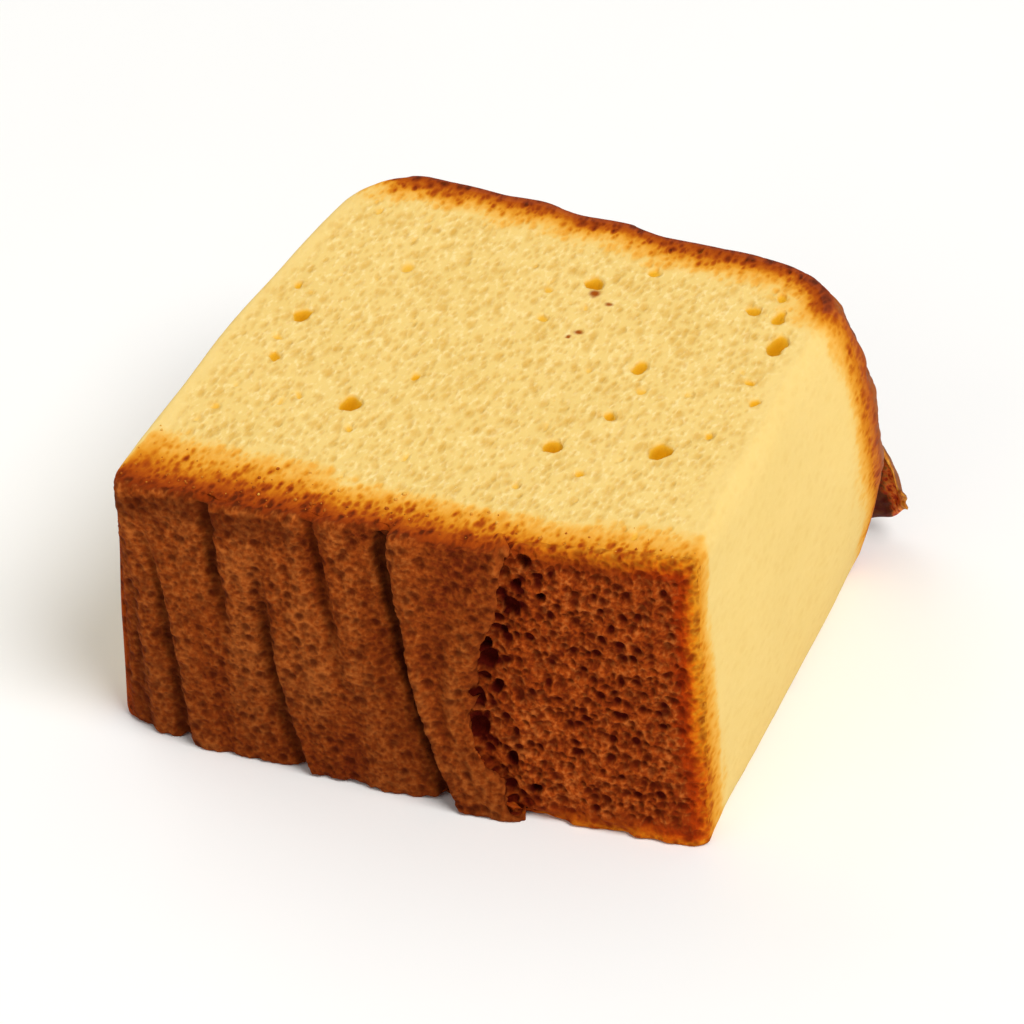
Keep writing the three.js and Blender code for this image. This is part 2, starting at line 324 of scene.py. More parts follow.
def bubbles(points, normals, size, radii, share, seed):
    """How deep a cut opened bubbles. A share of the scattered places holds a ball of drawn
    radius, and a point inside a ball sinks along its inward normal to the ball's far side, less
    steeply near the rim."""
    depth = np.zeros(points.shape[:-1])
    for (i, j, k), gap in scattered(points, size, seed):
        radius = mixed(*radii, drawn(i, j + seed, k + 31.7) ** 2)
        below, reach = (gap * normals).sum(-1), (gap ** 2).sum(-1)
        there = (reach < radius ** 2) & (drawn(i + 53.3, j, k + seed) < share)
        far = below + np.sqrt(np.clip(radius ** 2 - reach + below ** 2, 0, None))
        soft_rim = smooth(1, 0.75, np.sqrt(reach) / radius)
        depth = np.maximum(depth, np.where(there, np.minimum(far, radius) * soft_rim, 0))
    return depth


# Bubbles that stand out on the upper cut: place, width, length, depth.
LARGE_PORES = (
    (-14.3, -12.5, 2.6, 3.2, 0.95), (-26.2, 2.2, 2.2, 3.0, 0.8), (3.5, 18.9, 2.6, 3.0, 0.9),
    (27.5, 13.9, 2.4, 4.9, 0.9), (10.6, -13.5, 2.5, 2.9, 0.9), (22.4, -10.7, 2.8, 3.5, 1.0),
    (-29.1, 7.6, 1.4, 1.8, 0.5), (-26.0, -6.5, 1.7, 2.0, 0.6), (-27.3, -2.9, 1.5, 1.7, 0.4),
    (-20.5, -12.7, 1.3, 1.6, 0.4), (-9.1, -5.3, 1.7, 2.0, 0.6), (-18.2, 14.6, 1.9, 2.2, 0.4),
    (-12.3, -16.9, 1.2, 1.5, 0.4), (-28.9, -17.5, 1.2, 1.4, 0.4), (9.2, 23.3, 1.5, 2.0, 0.5),
    (22.7, 19.7, 1.8, 2.4, 0.7), (26.0, 19.3, 1.8, 3.3, 0.7), (24.7, 23.5, 1.4, 1.8, 0.5),
    (14.4, 4.4, 1.9, 3.1, 0.7), (16.3, -0.2, 1.1, 1.7, 0.4), (14.6, -6.1, 1.5, 2.0, 0.7),
    (29.0, 1.8, 1.6, 2.2, 0.6), (27.4, 5.6, 1.4, 1.8, 0.5), (26.5, -6.1, 1.2, 1.6, 0.5),
    (15.2, -17.7, 1.4, 1.6, 0.5), (0.4, 10.1, 1.3, 1.7, 0.4), (-1.1, 15.9, 1.2, 1.5, 0.4),
)
# Specks of burnt sugar on the upper cut: place and radius.
SPECKS = ((4.4, 16.7, 0.95), (6.7, 15.2, 0.6), (5.3, 8.8, 0.75), (4.7, 7.4, 0.45))
SPECK_BORDER = (0.25, 0.6, 9)       # height, size and seed of the noise that bends their border


def placed_pores(points):
    """Depth of the large pores on the upper cut: half balls stretched to each one's width and
    length, that slope in at the rim."""
    depth = np.zeros(points.shape[:-1])
    for x, y, width, length, deep in LARGE_PORES:
        gap = (points[..., :2] - (x, y)) / (width / 2, length / 2)
        ball = np.sqrt(np.clip(1 - (gap ** 2).sum(-1), 0, 1))
        depth = np.maximum(depth, deep * ball * smooth(0, 0.7, ball))
    return depth


def placed_specks(points):
    """1 inside a speck, 0 outside, with a border bent by noise."""
    speck = np.zeros(points.shape[:-1])
    for x, y, radius in SPECKS:
        gap = np.hypot(points[..., 0] - x, points[..., 1] - y) + rough(points, SPECK_BORDER)
        speck = np.maximum(speck, smooth(radius, radius * 0.4, gap))
    return speck


# The rising foam drew its bubbles out towards the top crust.
RISEN = np.array([1, 2.0, 1])
# Bubbles opened by the knife below, and small ones on both cuts: size of the cubes that they are
# drawn in, least and largest radius, share of the cubes that hold one, and seed.
LOWER_PORES = (9.0, (0.7, 1.2), 0.4, 23.0)
SMALL_PORES = (2.3, (0.26, 0.56), 0.55, 11.0)
SMALL_DEPTH = 0.6                   # how deep the small ones go, over a ball's own depth
PORE_BENDING = (1.1, 0.36, 3)       # size, reach and seed of the noise that bends all of them
# How far from the left and from the right wall a cut begins to turn smooth, and is smooth.
SMOOTH_RIMS = ((4.0, 0.6), (5.5, 1.0))
RIM_WANDER = (1.8, 5.0, 7)          # height, size and seed of the noise that bends their edge


def shaken(points, size, reach, seed):
    """The points, moved along each axis by noise, by the reach at most."""
    shift = np.stack([noise_in(points, size, seed + axis) for axis in range(3)], -1)
    return points + reach * shift


def on_cut(normals):
    """1 on a cut, 0 on a wall, and a step on the arris between them."""
    return smooth(0.6, 0.95, np.abs(normals[..., 2]))


def knife_marks(box, form, normals):
    """How deep the knife opened bubbles, and how smooth a place is: 0 on a cut and 1 on a wall
    that the paper peeled off, with a cut's rim in between. The bubbles are the placed ones
    above, drawn ones below, and small ones all over both cuts."""
    u, _, w = box
    from_side = (1 - np.abs(u)) * HALF_X + rough(form, RIM_WANDER)
    left, right = (smooth(*rim, from_side) for rim in SMOOTH_RIMS)
    peeled = np.maximum(1 - on_cut(normals), mixed(left, right, u > 0))
    bent = shaken(form, *PORE_BENDING)
    lower = bubbles(bent / RISEN, normals, *LOWER_PORES)
    small = bubbles(bent / RISEN, normals, *SMALL_PORES)
    large = np.where(w > 0, placed_pores(bent), lower)
    opened = np.maximum(large, SMALL_DEPTH * small * (1 - 0.8 * peeled))
    return on_cut(normals) * opened, peeled


BASE_ENDS = (-0.95, -0.94)          # v where the base crust ends on the left and right wall
# v where the top crust ends on each wall, at heights given as shares of the thickness. On the
# right it hangs loose below 0.35. On the left it ends short of the corner above, where v
# counts on past 1 along the top.
CROWN_END_HEIGHTS = (0.3, 0.38, 0.55, 0.7, 0.8, 1.0)
CROWN_END_LEFT = (0.78, 0.78, 0.79, 0.85, 0.98, 1.12)
CROWN_END_RIGHT = (0.75, 0.68, 0.65, 0.67, 0.7, 0.72)


def crown_end(u, up):
    """v of the line where the top crust ends on a side wall, at a height."""
    left, right = (
        np.interp(up, CROWN_END_HEIGHTS, end) for end in (CROWN_END_LEFT, CROWN_END_RIGHT))
    return np.where(u < 0, left, right)


def crust_margin(u, v, w):
    """How far inside the border of a crust a place on a wall lies, in millimetres."""
    along_base = (1 - np.abs(u)) * HALF_X + (np.where(u < 0, *BASE_ENDS) - v) * HALF_Y
    along_crown = (1 - np.abs(u)) * HALF_X + (v - crown_end(u, (w + 1) / 2)) * HALF_Y
    return np.maximum(along_base, along_crown)


# Along the base, from x to x: how brown the cut's arris is, and how deep it browned from there.
ARRIS_PLACES = (-35, -20, -8, 4, 9, 16, 27, 35)
ARRIS_TOASTS = (1.0, 1.0, 1.0, 1.0, 0.97, 0.74, 0.64, 0.6)
BASE_DEPTHS = (11.5, 10.2, 8.0, 6.9, 6.7, 6.5, 8.5, 8.0)
CORNER_TOASTS = (0.6, 0.72)         # how brown the right corner is, above and below
WALL_DEPTHS = (6.0, 8.0)            # how deep the side walls browned, above and below
WALL_TOAST = 0.82                   # how brown they are by the top crust
FADE = 3.8                          # on the base, what a paler arris takes to turn fully brown
FALL = 1.2                          # the power by which it falls with the distance from the base
# How brown the crumb is at each distance from the top crust.
CROWN_DEPTHS = (0, 2, 3, 4, 5, 6, 8, 10)
CROWN_TOASTS = (1, 0.84, 0.76, 0.57, 0.36, 0.24, 0.09, 0)
FRINGE = 3.0                        # how far before a wall's crust ends the browning thins out
# Height, size and seed of the noise in the depth of the browning, and of that by the top crust.
TOAST_RAGGED = ((0.14, 3.5, 1), (0.14, 1.2, 2))
CROWN_UNEVEN = (0.2, 11.0, 12)


def from_top_crust(u, x, y, up):
    """How far a place lies from the top crust. Beside a shoulder that is the distance to the
    shoulder's arc, as far as the crust covers it, and below that to the crust's end."""
    radius = np.where(x < 0, *SHOULDERS)
    over_x, over_y = np.abs(x) - HALF_X + radius, y - HALF_Y + radius
    past_corner = (crown_end(u, up) - 1) * HALF_Y + FRINGE
    end_x, end_y = radius - np.clip(past_corner, 0, None), radius + np.clip(past_corner, None, 0)
    shrink = radius / np.hypot(end_x, np.clip(end_y, 0, None))
    to_arc = radius - np.hypot(over_x, np.clip(over_y, 0, None))
    to_end = np.hypot(over_x - end_x * shrink, over_y - end_y * shrink)
    to_shoulder = np.where(over_y * end_x > over_x * end_y, to_arc, to_end)
    return np.where(over_x > 0, to_shoulder, HALF_Y - y)


def toast(box, points):
    """How brown the crumb is, from 0 in the middle to 1 at a crust. From the base it falls with
    the distance, from the top crust by the table, both ragged by noise. The right corner and the
    upper arris by it are paler, and brown towards the base's middle."""
    u, v, w = box
    plan_u, plan_v = rounded_plan(u, v)
    x, y, up = plan_u * HALF_X, plan_v * HALF_Y, (w + 1) / 2
    ragged = 1 + rough(points, *TOAST_RAGGED)
    to_cut, to_right = (1 - np.abs(w)) * HALF_Z, (1 - u) * HALF_X
    lower, on_wall = smooth(0.5, 0.15, up), smooth(0.97, 1, np.abs(u))
    arris_toast = np.interp(x, ARRIS_PLACES, ARRIS_TOASTS)
    at_arris = mixed(arris_toast, 1, smooth(0, FADE, to_cut * ragged))
    at_corner = mixed(mixed(*CORNER_TOASTS, lower), 1, smooth(0, FADE, to_right * ragged))
    depth = mixed(np.interp(x, ARRIS_PLACES, BASE_DEPTHS), mixed(*WALL_DEPTHS, lower), on_wall)
    from_base = np.minimum(at_arris, at_corner) * (1 - ((HALF_Y + y) / (depth * ragged)) ** FALL)
    distance = from_top_crust(u, x, y, up) * ragged * (1 + rough(points, CROWN_UNEVEN))
    from_crown = np.interp(distance, CROWN_DEPTHS, CROWN_TOASTS) * mixed(1, WALL_TOAST, on_wall)
    return np.clip(np.maximum(from_base, from_crown), 0, 1)


def make_piece(name, points, squares, polygons, marks):
    """One closed, smooth-shaded mesh from points in millimetres, flat where it would sink into
    the floor, with a number at each point for each named mark. It is a part of the slice, and
    rides on its only body."""
    placed = points + PLACE
    placed[:, 2] = np.clip(placed[:, 2], 0, None)
    mesh = bpy.data.meshes.new(name)
    faces = squares.tolist() + [polygon.tolist() for polygon in polygons]
    mesh.from_pydata((placed * MM).tolist(), [], faces)
    mesh.shade_smooth()
    for mark, values in marks.items():
        layer = mesh.attributes.new(mark, "FLOAT", "POINT")
        layer.data.foreach_set("value", np.asarray(values, np.float32))
    piece = bpy.data.objects.new(name, mesh)
    bpy.context.scene.collection.objects.link(piece)
    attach(piece, "root")
    return piece


# Columns and rows of the crumb's grid: even along X and Y, and closer near the cuts along Z.
CRUMB_CELLS = (276, 258, 18)
RIM = 2.4                           # how far a crust reaches over a cut face's arris
CRUST_SINK = 2.2                    # how far the crumb lies below a crust
CUT_WAVES = (0.12, 9.0, 8)          # the knife's wavering: height, size and seed
GRAIN_HEIGHTS = (0.05, 0.02)        # of the finest grain, on a cut and where it is smooth
MIDDLE = np.array([0, 0, HALF_Z])
crumb_index, crumb_squares, crumb_polygons = lattice(*CRUMB_CELLS)
crumb_rulings = (
    np.linspace(-1, 1, CRUMB_CELLS[0] + 1), np.linspace(-1, 1, CRUMB_CELLS[1] + 1),
    -np.cos(np.linspace(0, math.pi, CRUMB_CELLS[2] + 1)))
crumb_box = [ruling[index] for ruling, index in zip(crumb_rulings, crumb_index)]
crumb_form = sponge(*crumb_box)

# The solid's right end is the flap's tip, and front to back the form fills the solid's box.
FLAP_ROOT = (29.5, 28.6)            # where the flap hangs
FLAP_REACH = 9.6                    # how far it reaches from there
form_middle = (crumb_form[:, 1].min() + crumb_form[:, 1].max()) / 2
PLACE = np.array([
    node_high[0] - FLAP_ROOT[0] - FLAP_REACH, (node_low[1] + node_high[1]) / 2 - form_middle, 0])

crumb_normals = outward(crumb_form, crumb_squares)
crumb_opened, crumb_peeled = knife_marks(crumb_box, crumb_form, crumb_normals)
is_upper = crumb_form[:, 2] > THICKNESS / 2
is_cut = on_cut(crumb_normals)
to_wall = np.minimum((1 - np.abs(crumb_box[0])) * HALF_X, (1 - np.abs(crumb_box[1])) * HALF_Y)
over_rim = RIM + (1 - np.abs(crumb_box[2])) * HALF_Z - to_wall
under_crust = smooth(1.0, 2.6, np.minimum(crust_margin(*crumb_box), over_rim))
sunk = crumb_opened * (1 - under_crust) - is_cut * rough(crumb_form, CUT_WAVES)
sunk -= mixed(*GRAIN_HEIGHTS, crumb_peeled) * noise_in(crumb_form / RISEN, 1.0, 6)
drawn_in = (crumb_form - MIDDLE) * (CRUST_SINK / HALF_Y * under_crust)[:, None]
crumb_points = crumb_form - crumb_normals * sunk[:, None] - drawn_in

crumb_toast = toast(crumb_box, crumb_form)
crumb = make_piece("sponge_crumb", crumb_points, crumb_squares, crumb_polygons, {
    "toast": crumb_toast,
    # How deep the knife opened a bubble, which the finish darkens as painted shade.
    "pore": crumb_opened,
    "peeled": crumb_peeled,
    "speck": placed_specks(crumb_form) * is_upper,
})
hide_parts("castella_slice")


def paint(code):
    """A colour like #f3cf7a, as the linear red, green, blue and alpha that a socket takes."""
    parts = [int(code[at:at + 2], 16) / 255 for at in (1, 3, 5)]
    linear = [part / 12.92 if part < 0.04045 else ((part + 0.055) / 1.055) ** 2.4
              for part in parts]
    return (*linear, 1)


class Reading:
    """A socket that can be reckoned with: an expression on readings adds its Math nodes."""

    def __init__(self, finish, socket):
        self.finish = finish
        self.socket = socket

    def reckon(self, operation, first, second):
        return self.finish.node("Math", {"operation": operation}, {0: first, 1: second})

    def __add__(self, other):
        return self.reckon("ADD", self, other)

    def __sub__(self, other):
        return self.reckon("SUBTRACT", self, other)

    def __rsub__(self, other):
        return self.reckon("SUBTRACT", other, self)

    def __mul__(self, other):
        return self.reckon("MULTIPLY", self, other)

    __radd__ = __add__
    __rmul__ = __mul__


class Finish:
    """A procedural material on one Principled shader, whose constants are given by name."""

    def __init__(self, name, constants):
        self.material = bpy.data.materials.new(name)
        self.material.use_nodes = True
        self.tree = self.material.node_tree
        self.shader = self.tree.nodes["Principled BSDF"]
        for socket, value in constants.items():
            self.shader.inputs[socket].default_value = value
        place = self.node("TexCoord", output="Object")
        self.place = self.node("VectorMath", {"operation": "DIVIDE"}, {0: place, 1: tuple(RISEN)})

    def feed(self, socket, value):
        """Links a reading to a socket, or sets the socket to a number, vector or colour code."""
        if isinstance(value, Reading):
            self.tree.links.new(value.socket, socket)
        else:
            socket.default_value = paint(value) if isinstance(value, str) else value

    def node(self, kind, settings=None, inputs=None, output=0):
        """Adds a node: its settings, then the values or readings of its inputs."""
        made = self.tree.nodes.new("ShaderNode" + kind)
        for setting, value in (settings or {}).items():
            if setting == "stops":
                for _ in value[2:]:
                    made.color_ramp.elements.new(1)
                for element, (position, colour) in zip(made.color_ramp.elements, value):
                    element.position, element.color = position, paint(colour)
            else:
                setattr(made, setting, value)
        for socket, value in (inputs or {}).items():
            self.feed(made.inputs[socket], value)
        return Reading(self, made.outputs[output])

    def mark(self, name):
        """The number that the piece has at each point under this name."""
        return self.node("Attribute", {"attribute_name": name}, output="Fac")

    def noise(self, size, detail=2.0):
        """Noise from 0 to 1 whose features are about size millimetres across."""
        inputs = {"Vector": self.place, "Scale": 1 / (size * MM), "Detail": detail}
        return self.node("TexNoise", {}, inputs, "Fac")

    def dots(self, size, share):
        """1 in soft round dots about size millimetres apart and up to share of that in radius,
        and 0 between them: scattered balls on slightly bent coordinates."""
        swirl = {"Vector": self.place, "Scale": 0.7 / (size * MM)}
        bend = self.node("TexNoise", {}, swirl, "Color")
        bent = self.node("VectorMath", {"operation": "MULTIPLY_ADD"}, {
            0: bend, 1: (0.5 * size * MM,) * 3, 2: self.place})
        inputs = {"Vector": bent, "Scale": 1 / (size * MM)}
        reach = self.node("TexVoronoi", {}, inputs, "Distance")
        width = (self.node("TexVoronoi", {}, inputs, "Color") + 0.8) * (share * 0.55)
        return self.step(reach - width, 0.18, -0.3)

    def step(self, reading, low, high):
        """0 at low, 1 at high, and smooth in between, whichever of the two is larger."""
        inputs = {"Value": reading, "From Min": low, "From Max": high}
        return self.node("MapRange", {"interpolation_type": "SMOOTHSTEP"}, inputs)

    def ramp(self, reading, *stops):
        """The colour at a reading, between stops that are each a number and a colour code."""
        return self.node("ValToRGB", {"stops": stops}, {0: reading}, "Color")

    def mix(self, factor, first, second):
        """The first colour where the factor is 0, the second where it is 1."""
        return self.node("Mix", {"data_type": "RGBA"}, {0: factor, 6: first, 7: second}, 2)

    def stain(self, colour, *layers):
        """Lays further colours over one, in turn, each as strongly as its factor says."""
        for factor, further in layers:
            colour = self.mix(factor, colour, further)
        return colour

    def dress(self, piece, colour, roughness, height, relief):
        """Feeds the shader, height as a bump of relief millimetres, and puts the material on
        the piece."""
        bump = self.node("Bump", {}, {"Height": height, "Distance": relief * MM}, "Normal")
        for socket, value in (("Base Color", colour), ("Roughness", roughness), ("Normal", bump)):
            self.feed(self.shader.inputs[socket], value)
        piece.data.materials.append(self.material)


def baked(finish):
    """The crumb's colour: egg yellow where it was cut, with painted shade in its cells, amber,
    then, as it is more toasted, amber, orange and a dark red brown. The shade painted in its
    opened pores is amber, and dark red brown where it is toasted. Gives its grain and its cells,
    large and fine, besides."""
    browned, peeled = finish.mark("toast"), finish.mark("peeled")
    cut = 1 - peeled
    grain, broad = finish.noise(0.55, 3.0), finish.noise(6.0, 3.0)
    cells, fine = finish.dots(1.2, 0.5), finish.dots(0.7, 0.5)
    flesh = finish.stain(
        finish.mix(broad, "#eecd7e", "#e5c26f"),
        (finish.step(grain, 0.5, 0.7) * (cut * 0.6 + 0.1), "#f6dc98"),
        (peeled * 0.25, "#f4d890"),
        # Amber in the fine cells and the large ones is painted shade, strongest where it was cut.
        (fine * (cut * 0.42 + 0.05), "#d4a041"),
        (cells * (cut * 0.4 + 0.09), "#cf972c"))
    # The cells darken the browning in spots as painted shade; the grain adds random mottling.
    mottle = (grain - 0.5) + (cells - 0.25) * 0.8 + (fine - 0.25) * 0.6
    charred = browned + browned * (1.1 - browned) * mottle * (cut * 0.4 + 0.7)
    crusted = finish.ramp(
        charred, (0.0, "#edc56e"), (0.15, "#ebb756"), (0.28, "#e8a742"), (0.4, "#e0972c"),
        (0.5, "#d5841b"), (0.6, "#c36b0f"), (0.7, "#ae500b"), (0.8, "#9b3f09"), (0.9, "#812f07"),
        (1.0, "#5e2205"))
    # A pore's amber, darker deeper in, and its dark red brown where toasted, are painted shade.
    pore = finish.mark("pore")
    amber = finish.mix(finish.step(pore, 0.2, 0.95), "#e5ae2a", "#c28004")
    inside = finish.mix(finish.step(charred, 0.1, 0.9), amber, "#4c1403")
    colour = finish.stain(
        flesh, (finish.step(charred, 0.0, 0.22), crusted), (finish.step(pore, 0.05, 0.5), inside))
    return colour, grain, cells, fine


def finish_crumb():
    """A little light goes into the crumb, and its cells are deepest on a cut and where it is
    toasted."""
    finish = Finish("crumb", {
        "Subsurface Weight": 0.06, "Subsurface Radius": (1.0, 0.7, 0.3),
        "Subsurface Scale": 0.4 * MM, "Specular IOR Level": 0.05})
    colour, grain, cells, fine = baked(finish)
    colour = finish.mix(finish.mark("speck"), colour, "#9c4a0a")
    open_share = (1 - finish.mark("peeled")) * 0.55 + finish.mark("toast") * 0.3 + 0.04
    height = grain * 0.5 - (cells + fine * 0.6) * open_share
    finish.dress(crumb, colour, 0.9 + (grain - 0.5) * 0.15, height, 0.16)


finish_crumb()

# ------------------------------------------------------------------------------------------
# The base crust: a thin brown skin, baked against paper that pressed upright creases into it.
# It is velvety and finely pitted, its border is ragged, and on the right it was torn off.
# ------------------------------------------------------------------------------------------

TEAR_OVERLAP = 4.0                  # the skin and the bared crumb run on under each other
BASE_CELLS = (324, 270)             # cells of its grid, along the walls and from cut to cut
PAST_END = 0.04                     # v by which a crust runs on past its end, under the crumb
SKIN = 0.08                         # thickness of a crust, over its distance from the middle
PROUD = 0.12                        # how far the skin stands off the crumb's own form
TUCKED = 0.5                        # how deep its border lies under the crumb
OWN_RELIEF = (0.5, 1.7)             # how far inside the border its relief begins, and is whole
GROOVE = (0.8, 0.7, 1.05)           # left of a fold: distance, width, depth over the lip's height
PLEATS = ((0.3, 3.1, 2.2), (0.15, 1.4, 5.0))    # height, size, count of waves from cut to cut
PIT_DEPTH = 0.3
PIT_BENDING = (0.9, 0.15, 44)       # size, reach and seed of the noise that bends its pits
TEAR_DROP = 4.0                     # how far it drops at the tear, to end under the bared crumb
# Pits, coarse and fine: share of the full depth, size, seed.
BASE_PITS = ((1.0, 1.3, 41.0), (0.6, 0.8, 40.0))
# Noise in the crust: height, size, seed.
GROOVE_WANDER = ((0.45, 3.2, 42), (0.2, 1.2, 43))
BASE_BORDER = (0.35, 1.9, 21)
BASE_GRAIN = (0.05, 0.6, 47)
TEAR_FRAYS = (0.3, 1.1, 50)
TEAR_PALING = (0.7, 1.2, 48)
DUSK_BORDER = (0.8, 2.2, 49)
# Its band of painted shade: x where that begins and is full, and how far below the upper arris
# it begins, is full, ends and is still full.
DUSK_START = (-4, -16)
DUSK_BAND = ((0.2, 1.0), (5.0, 2.2))


def ribbon(path, cells):
    """A grid over the walls: along a path on the plan, given in box coordinates, and across
    from one cut face to the other, over the rim of both. Gives the distance to the crust's
    border, and the walls: their box coordinates, and the form's points and normals."""
    stops_u, stops_v = np.array(path, float).T
    legs = np.hypot(np.diff(stops_u) * HALF_X, np.diff(stops_v) * HALF_Y)
    stops = np.concatenate([[0], np.cumsum(legs)])
    along = np.linspace(0, stops[-1], cells[0] + 1)[:, None]
    across = np.linspace(-HALF_Z - RIM, HALF_Z + RIM, cells[1] + 1)[None]
    over = np.clip(np.abs(across) - HALF_Z, 0, None)
    wall_u, wall_v = (np.interp(along, stops, stop) + 0 * over for stop in (stops_u, stops_v))
    w = np.clip(across / HALF_Z, -1, 1) + 0 * wall_u
    u, v = wall_u * (1 - over / HALF_X), wall_v * (1 - over / HALF_Y)
    form = sponge(u, v, w)
    normals = np.cross(np.gradient(form, axis=0), np.gradient(form, axis=1))
    normals /= np.linalg.norm(normals, axis=-1, keepdims=True)
    border = np.minimum(crust_margin(wall_u, wall_v, w), HALF_Z + RIM - np.abs(across))
    return border, ((u, v, w), form, normals)


def make_skin(name, walls, ragged, relief, level, marks):
    """A closed skin. Its outer side comes up from under the crumb at its ragged border, is opened
    like the crumb there, has its own relief further in, and lies at its own level. Its inner
    side is the form shrunk towards the slice's middle. It has the crumb's marks and its own."""
    box, form, normals = walls
    opened, peeled = knife_marks(box, form, normals)
    whole = smooth(*OWN_RELIEF, ragged)
    emerging = mixed(-TUCKED, 0, smooth(0, 0.5, ragged)) - opened * (1 - whole)
    stand = emerging + (PROUD + relief) * whole + level
    outer, inner = form + normals * stand[..., None], form - (form - MIDDLE) * SKIN
    marks = {"toast": toast(box, form), "peeled": peeled, "pore": opened, **marks}
    (along, across, layer), squares, polygons = lattice(outer.shape[0] - 1, outer.shape[1] - 1, 1)
    points = np.stack([inner, outer])[layer, along, across]
    picked = {mark: values[along, across] for mark, values in marks.items()}
    return make_piece(name, points, squares, polygons, picked)


def foam(points, *layers):
    """How deep foam's round cells lie open, from 0 between them to 1: points near one of the
    scattered places sink, at each place to its own drawn depth."""
    depth = np.zeros(points.shape[:-1])
    for share, size, seed in layers:
        for (i, j, k), gap in scattered(points, size, seed):
            deep = share * mixed(0.45, 1, drawn(i, j + seed, k))
            reach = np.linalg.norm(gap, axis=-1) / size
            depth = np.maximum(depth, deep * smooth(0.68, 0.18, reach))
    return depth


def between(start, end, x):
    """1 between two ends, which are each given as where it is 0 and where it is 1."""
    return smooth(*start, x) * smooth(*end, x)


def make_base_crust():
    """Left of each fold's lip runs a groove; lower pleats and wrinkles follow the folds, and
    fine pits lie all over. It stays level up to the tear's edge, and drops steeply there. Its
    marks paint shade towards the lower cut, and on the left in a band below the upper arris."""
    path = ((-1, BASE_ENDS[0] + PAST_END), (-1, -1), ((TEAR_AT + TEAR_OVERLAP) / HALF_X, -1))
    border, walls = ribbon(path, BASE_CELLS)
    box, form, _ = walls
    x, up = box[0] * HALF_X, (box[2] + 1) / 2
    aside, width, deep = GROOVE
    crooked = x + rough(form, *GROOVE_WANDER)
    groove = sum(lip_at(fold, up) * np.exp(-((crooked - fold[0] + aside) / width) ** 2)
                 for fold in FOLDS)
    pleats = sum(height * noise(x / size + 4 * size, up * waves) for height, size, waves in PLEATS)
    pits = foam(shaken(form, *PIT_BENDING), *BASE_PITS)
    relief = pleats - deep * groove - PIT_DEPTH * pits + rough(form, BASE_GRAIN)
    past = past_tear(x, up) + rough(form, TEAR_FRAYS)
    level = torn(x, up) * TORN_DEPTH - TEAR_DROP * smooth(-0.3, 1.0, past)
    # The band of painted shade below the upper arris, on the left.
    under_arris = (1 - up) * THICKNESS + rough(form, DUSK_BORDER)
    dusk = smooth(*DUSK_START, x) * between(*DUSK_BAND, under_arris)
    return make_skin("base_crust", walls, border + rough(form, BASE_BORDER), relief, level, {
        # The pleats' height, which the finish lightens as a painted highlight.
        "height": np.clip(0.5 + pleats / 1.2, 0, 1),
        # Painted shade in the pits.
        "pit": pits,
        # Painted shade in the grooves.
        "groove": np.clip(groove * 1.4, 0, 1),
        # Painted shade: darker towards the lower cut and in the dusk band.
        "low": np.clip(0.5 * (1 - up) + 0.7 * dusk, 0, 1),
        "edge": smooth(-0.7, -0.1, past + rough(form, TEAR_PALING)),
        "border": border,
    })


base_crust = make_base_crust()
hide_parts("castella_slice")


def clad(finish, piece, browned, under, own, grain, fine):
    """Gives a velvety piece its own colour, where it is browned and from its ragged border
    inwards, over the one under it."""
    inside = finish.mark("border") + (grain - 0.5) * 2.0
    colour = finish.mix(finish.step(inside, 1.4, 2.6) * browned, under, own)
    finish.dress(piece, colour, 0.92 + (grain - 0.5) * 0.12, grain * 0.8 - fine * 0.5, 0.16)


def finish_base_crust():
    """Velvety red brown, riddled with fine pits, with painted shade in them, in the grooves and
    below, a painted highlight on the pleats, lighter at the torn edge, and like the crumb at its
    border."""
    finish = Finish("base_crust", {"Specular IOR Level": 0.05})
    toasted, grain, _, fine = baked(finish)
    # The pleats' height lightens the velvet: a painted highlight.
    high = finish.mark("height") * 0.35 + grain * 0.5 + finish.noise(5.0, 3.0) * 0.15
    velvet = finish.stain(
        finish.ramp(high, (0.34, "#732808"), (0.5, "#9a4511"), (0.66, "#be6628")),
        (finish.mark("edge") * 0.35, "#b9591e"),
        # The fine pits and the pits are darkened: painted shade.
        (fine * 0.45, "#541403"),
        (finish.mark("pit") * 0.85, "#3f0b01"),
        # Painted shade in the grooves.
        (finish.mark("groove") * 0.85, "#330c01"),
        # Painted shade towards the lower cut and in the dusk band.
        (finish.mark("low") * 0.8, "#481402"))
    browned = finish.step(finish.mark("toast"), 0.6, 0.9)
    clad(finish, base_crust, browned, toasted, velvet, grain, fine)


finish_base_crust()

# ------------------------------------------------------------------------------------------
# The bared crumb: right of the tear the skin came away with the paper, and the browned foam
# under it lies open, a coarse net round deep cells. It pales round the right corner.
# ------------------------------------------------------------------------------------------

TORN_CELLS = (276, 318)
TEAR_TUCK = 1.3                     # how much lower it lies where it passes under the skin
# How deep its cells, the gully along the skin's edge and the holes in that go.
CELL_DEPTH, GULLY_DEPTH, HOLE_DEPTH = 0.65, 0.5, 1.6
GULLY = ((-0.4, 0.3), (4.2, 1.2))    # past the tear, where it begins, is full, ends, is full
GULLY_GAPS = (3.5, 30)              # size and seed of the noise that leaves gaps in it
FOAM_BENDING = (1.2, 0.3, 24)       # size, reach and seed of the noise that bends the foam
# The foam's cells, coarse and fine: share of the full depth, size, seed.
TORN_FOAM = ((1.0, 1.4, 47.0), (0.7, 0.9, 49.0))
# Noise in it, at its lower arris and in its border: height, size, seed.
TORN_UNEVEN = ((0.28, 2.6, 27), (0.1, 0.8, 28))
TORN_ARRIS = (0.9, 1.8, 29)
TORN_BORDER = (0.4, 1.9, 23)
